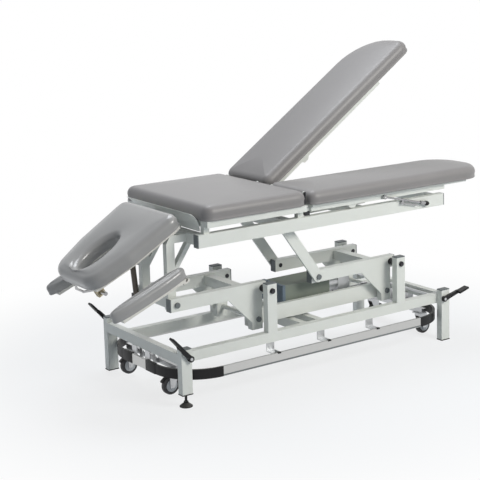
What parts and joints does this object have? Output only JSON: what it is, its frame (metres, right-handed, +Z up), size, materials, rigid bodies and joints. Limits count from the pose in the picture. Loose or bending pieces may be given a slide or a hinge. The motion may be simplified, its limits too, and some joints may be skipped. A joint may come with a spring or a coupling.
{
  "type": "treatment couch",
  "caption": "Height-adjustable treatment couch with padded seat, split leg section, drop head section with face hole, arm rests, twin-lever lift and lowering castors.",
  "frame": {"origin": "floor, under the middle of the couch's bounding box", "axes": "+X towards the foot end, +Y towards the far side (away from the viewer in the picture), +Z up"},
  "size_m": [2.0502, 0.726, 1.4039],
  "materials": {
    "frame_paint": "satin powder coat",
    "cap_plastic": "matt",
    "black_plastic": "matt",
    "cover_plastic": "matt",
    "zinc": "zinc plated",
    "bright_rod": "polished",
    "strut_black": "gloss",
    "block_beige": "matt",
    "wheel_rubber": "grey hub inside a dark tread",
    "bar_aluminium": "anodised extrusion",
    "board": "painted board",
    "pad_vinyl": "fine-grained vinyl",
    "head_vinyl": "smooth glossy vinyl"
  },
  "bodies": {
    "base": {"base_legs": "frame_paint", "base_crossbars": "frame_paint", "base_rails": "frame_paint", "lift_posts": "frame_paint", "frame_caps": "cap_plastic", "leg_shoes": "black_plastic", "lift_pivots": "zinc", "drive_box": "frame_paint", "drive_cover": "cover_plastic", "drive_motor": "zinc", "bar_hangers": "zinc"},
    "levelling_foot": {"levelling_foot": "black_plastic"},
    "lever_a": {"lever_a": "frame_paint", "lever_a_caps": "cap_plastic"},
    "lever_b": {"lever_b": "frame_paint", "lever_b_caps": "cap_plastic"},
    "link_bar": {"link_bar": "frame_paint"},
    "drive_rod": {"drive_rod": "bright_rod"},
    "upper_frame": {"top_rails": "frame_paint", "top_crossbars": "frame_paint", "columns": "frame_paint", "slant_links": "frame_paint", "upper_pins": "zinc", "upper_caps": "cap_plastic", "head_cover": "frame_paint", "seat_pad": "pad_vinyl"},
    "leg_section_near": {"leg_pad_near": "pad_vinyl", "leg_frame_near": "frame_paint"},
    "leg_section_far": {"leg_pad_far": "pad_vinyl", "leg_frame_far": "frame_paint"},
    "leg_stay_near": {"leg_stay_near": "frame_paint"},
    "leg_stay_far": {"leg_stay_far": "frame_paint"},
    "head_section": {"head_pad": "head_vinyl", "head_board": "board", "handle_block": "block_beige"},
    "head_strut_tube": {"head_strut_tube": "strut_black"},
    "head_strut_rod": {"head_strut_rod": "bright_rod"},
    "head_handle": {"head_handle": "bright_rod"},
    "arm_rest_near": {"arm_pad_near": "head_vinyl", "arm_board_near": "board"},
    "arm_rest_far": {"arm_pad_far": "head_vinyl", "arm_board_far": "board"},
    "pedals_head": {"pedal_shaft_head": "zinc", "pedals_head": "black_plastic"},
    "pedals_foot": {"pedal_shaft_foot": "zinc", "pedals_foot": "black_plastic"},
    "carriage_head": {"carriage_head": "zinc"},
    "carriage_foot": {"carriage_foot": "zinc"},
    "foot_bar": {"foot_bar": "bar_aluminium", "foot_bar_corners": "black_plastic"},
    "release_lever": {"release_lever": "bright_rod"},
    "castor_fork_head_near": {"castor_fork_head_near": "zinc"},
    "castor_wheel_head_near": {"castor_wheel_head_near": "wheel_rubber"},
    "castor_fork_head_far": {"castor_fork_head_far": "zinc"},
    "castor_wheel_head_far": {"castor_wheel_head_far": "wheel_rubber"},
    "castor_fork_foot_near": {"castor_fork_foot_near": "zinc"},
    "castor_wheel_foot_near": {"castor_wheel_foot_near": "wheel_rubber"},
    "castor_fork_foot_far": {"castor_fork_foot_far": "zinc"},
    "castor_wheel_foot_far": {"castor_wheel_foot_far": "wheel_rubber"}
  },
  "joints": [
    {"name": "lift", "type": "hinge", "parent": "base", "child": "lever_a", "pos_m": [-0.20845, -0.0649, 0.4059], "axis": [0, 1, 0], "range_deg": [-22, 32]},
    {"name": "upper_level", "type": "hinge", "parent": "lever_a", "child": "upper_frame", "pos_m": [-0.64295, -0.0649, 0.4059], "axis": [0, 1, 0], "range_deg": [-32, 22]},
    {"name": "lever_b_turn", "type": "hinge", "parent": "base", "child": "lever_b", "pos_m": [0.52635, -0.0649, 0.4059], "axis": [0, 1, 0], "range_deg": [-22, 32]},
    {"name": "bar_level", "type": "hinge", "parent": "lever_a", "child": "link_bar", "pos_m": [-0.23265, -0.176, 0.2695], "axis": [0, 1, 0], "range_deg": [-32, 22]},
    {"name": "drive_stroke", "type": "slide", "parent": "base", "child": "drive_rod", "axis": [1, 0, 0], "range_m": [-0.0705, 0.0485]},
    {"name": "head_tilt", "type": "hinge", "parent": "upper_frame", "child": "head_section", "pos_m": [-0.6292, -0.0682, 0.715], "axis": [0, 1, 0], "range_deg": [-9, 31]},
    {"name": "strut_swing", "type": "hinge", "parent": "upper_frame", "child": "head_strut_tube", "pos_m": [-0.7106, -0.0088, 0.407], "axis": [0, 1, 0], "range_deg": [-5, 3]},
    {"name": "strut_stroke", "type": "slide", "parent": "head_strut_tube", "child": "head_strut_rod", "axis": [-0.0916, 0, 0.9958], "range_m": [-0.019, 0.064]},
    {"name": "handle_pull", "type": "hinge", "parent": "head_section", "child": "head_handle", "pos_m": [-0.91297, -0.033, 0.48033], "axis": [0, 1, 0], "range_deg": [-12, 12]},
    {"name": "leg_near_raise", "type": "hinge", "parent": "upper_frame", "child": "leg_section_near", "pos_m": [-0.01925, -0.1628, 0.8085], "axis": [0, -1, 0], "range_deg": [0, 55]},
    {"name": "leg_far_raise", "type": "hinge", "parent": "upper_frame", "child": "leg_section_far", "pos_m": [-0.01925, 0.1804, 0.8085], "axis": [0, -1, 0], "range_deg": [-34.5, 20.5]},
    {"name": "stay_near_swing", "type": "hinge", "parent": "upper_frame", "child": "leg_stay_near", "pos_m": [0.0066, -0.253, 0.7172], "axis": [0, -1, 0], "range_deg": [0, 53]},
    {"name": "stay_far_swing", "type": "hinge", "parent": "upper_frame", "child": "leg_stay_far", "pos_m": [0.0066, 0.1155, 0.7172], "axis": [0, -1, 0], "range_deg": [-33.5, 20]},
    {"name": "release_pull", "type": "hinge", "parent": "leg_section_near", "child": "release_lever", "pos_m": [0.4213, -0.3091, 0.7348], "axis": [0, -1, 0], "range_deg": [-6, 10]},
    {"name": "arm_near_tilt", "type": "hinge", "parent": "upper_frame", "child": "arm_rest_near", "pos_m": [-0.6402, -0.286, 0.528], "axis": [0, 1, 0], "range_deg": [-8, 22]},
    {"name": "arm_far_tilt", "type": "hinge", "parent": "upper_frame", "child": "arm_rest_far", "pos_m": [-0.6402, 0.2772, 0.528], "axis": [0, 1, 0], "range_deg": [-8, 22]},
    {"name": "pedals_head_press", "type": "hinge", "parent": "base", "child": "pedals_head", "pos_m": [-0.6556, 0, 0.2057], "axis": [0, -1, 0], "range_deg": [0, 40]},
    {"name": "carriage_head_drop", "type": "slide", "parent": "base", "child": "carriage_head", "axis": [0, 0, -1], "range_m": [0, 0.0127]},
    {"name": "pedals_foot_release", "type": "hinge", "parent": "base", "child": "pedals_foot", "pos_m": [0.7612, 0, 0.2057], "axis": [0, -1, 0], "range_deg": [0, 33]},
    {"name": "carriage_foot_rise", "type": "slide", "parent": "base", "child": "carriage_foot", "axis": [0, 0, 1], "range_m": [0, 0.0105]},
    {"name": "levelling_foot_turn", "type": "hinge", "parent": "base", "child": "levelling_foot", "pos_m": [-0.67045, -0.3135, 0.033], "axis": [0, 0, 1], "continuous": true},
    {"name": "foot_bar_press", "type": "slide", "parent": "base", "child": "foot_bar", "axis": [0, 0, -1], "range_m": [0, 0.004], "stiffness_N_per_m": 3000, "springref_m": -0.03},
    {"name": "castor_swivel_head_near", "type": "hinge", "parent": "carriage_head", "child": "castor_fork_head_near", "pos_m": [-0.638, -0.176, 0.1012], "axis": [0, 0, 1], "continuous": true},
    {"name": "castor_roll_head_near", "type": "hinge", "parent": "castor_fork_head_near", "child": "castor_wheel_head_near", "pos_m": [-0.66, -0.176, 0.0528], "axis": [0, 1, 0], "continuous": true},
    {"name": "castor_swivel_head_far", "type": "hinge", "parent": "carriage_head", "child": "castor_fork_head_far", "pos_m": [-0.638, 0.176, 0.1012], "axis": [0, 0, 1], "continuous": true},
    {"name": "castor_roll_head_far", "type": "hinge", "parent": "castor_fork_head_far", "child": "castor_wheel_head_far", "pos_m": [-0.66, 0.176, 0.0528], "axis": [0, 1, 0], "continuous": true},
    {"name": "castor_swivel_foot_near", "type": "hinge", "parent": "carriage_foot", "child": "castor_fork_foot_near", "pos_m": [0.748, -0.176, 0.0902], "axis": [0, 0, 1], "continuous": true},
    {"name": "castor_roll_foot_near", "type": "hinge", "parent": "castor_fork_foot_near", "child": "castor_wheel_foot_near", "pos_m": [0.77, -0.176, 0.0418], "axis": [0, 1, 0], "continuous": true},
    {"name": "castor_swivel_foot_far", "type": "hinge", "parent": "carriage_foot", "child": "castor_fork_foot_far", "pos_m": [0.748, 0.176, 0.0902], "axis": [0, 0, 1], "continuous": true},
    {"name": "castor_roll_foot_far", "type": "hinge", "parent": "castor_fork_foot_far", "child": "castor_wheel_foot_far", "pos_m": [0.77, 0.176, 0.0418], "axis": [0, 1, 0], "continuous": true}
  ],
  "couplings": [
    {"joint": "upper_level", "follows": "lift", "ratio": -1},
    {"joint": "lever_b_turn", "follows": "lift", "ratio": 1},
    {"joint": "bar_level", "follows": "lift", "ratio": -1},
    {"joint": "drive_stroke", "follows": "lift", "m_per_rad": -0.1249},
    {"joint": "strut_swing", "follows": "head_tilt", "ratio": -0.15},
    {"joint": "strut_stroke", "follows": "head_tilt", "m_per_rad": 0.1166},
    {"joint": "stay_near_swing", "follows": "leg_near_raise", "ratio": 0.96},
    {"joint": "stay_far_swing", "follows": "leg_far_raise", "ratio": 0.96},
    {"joint": "carriage_head_drop", "follows": "pedals_head_press", "m_per_rad": 0.018},
    {"joint": "carriage_foot_rise", "follows": "pedals_foot_release", "m_per_rad": 0.018}
  ]
}
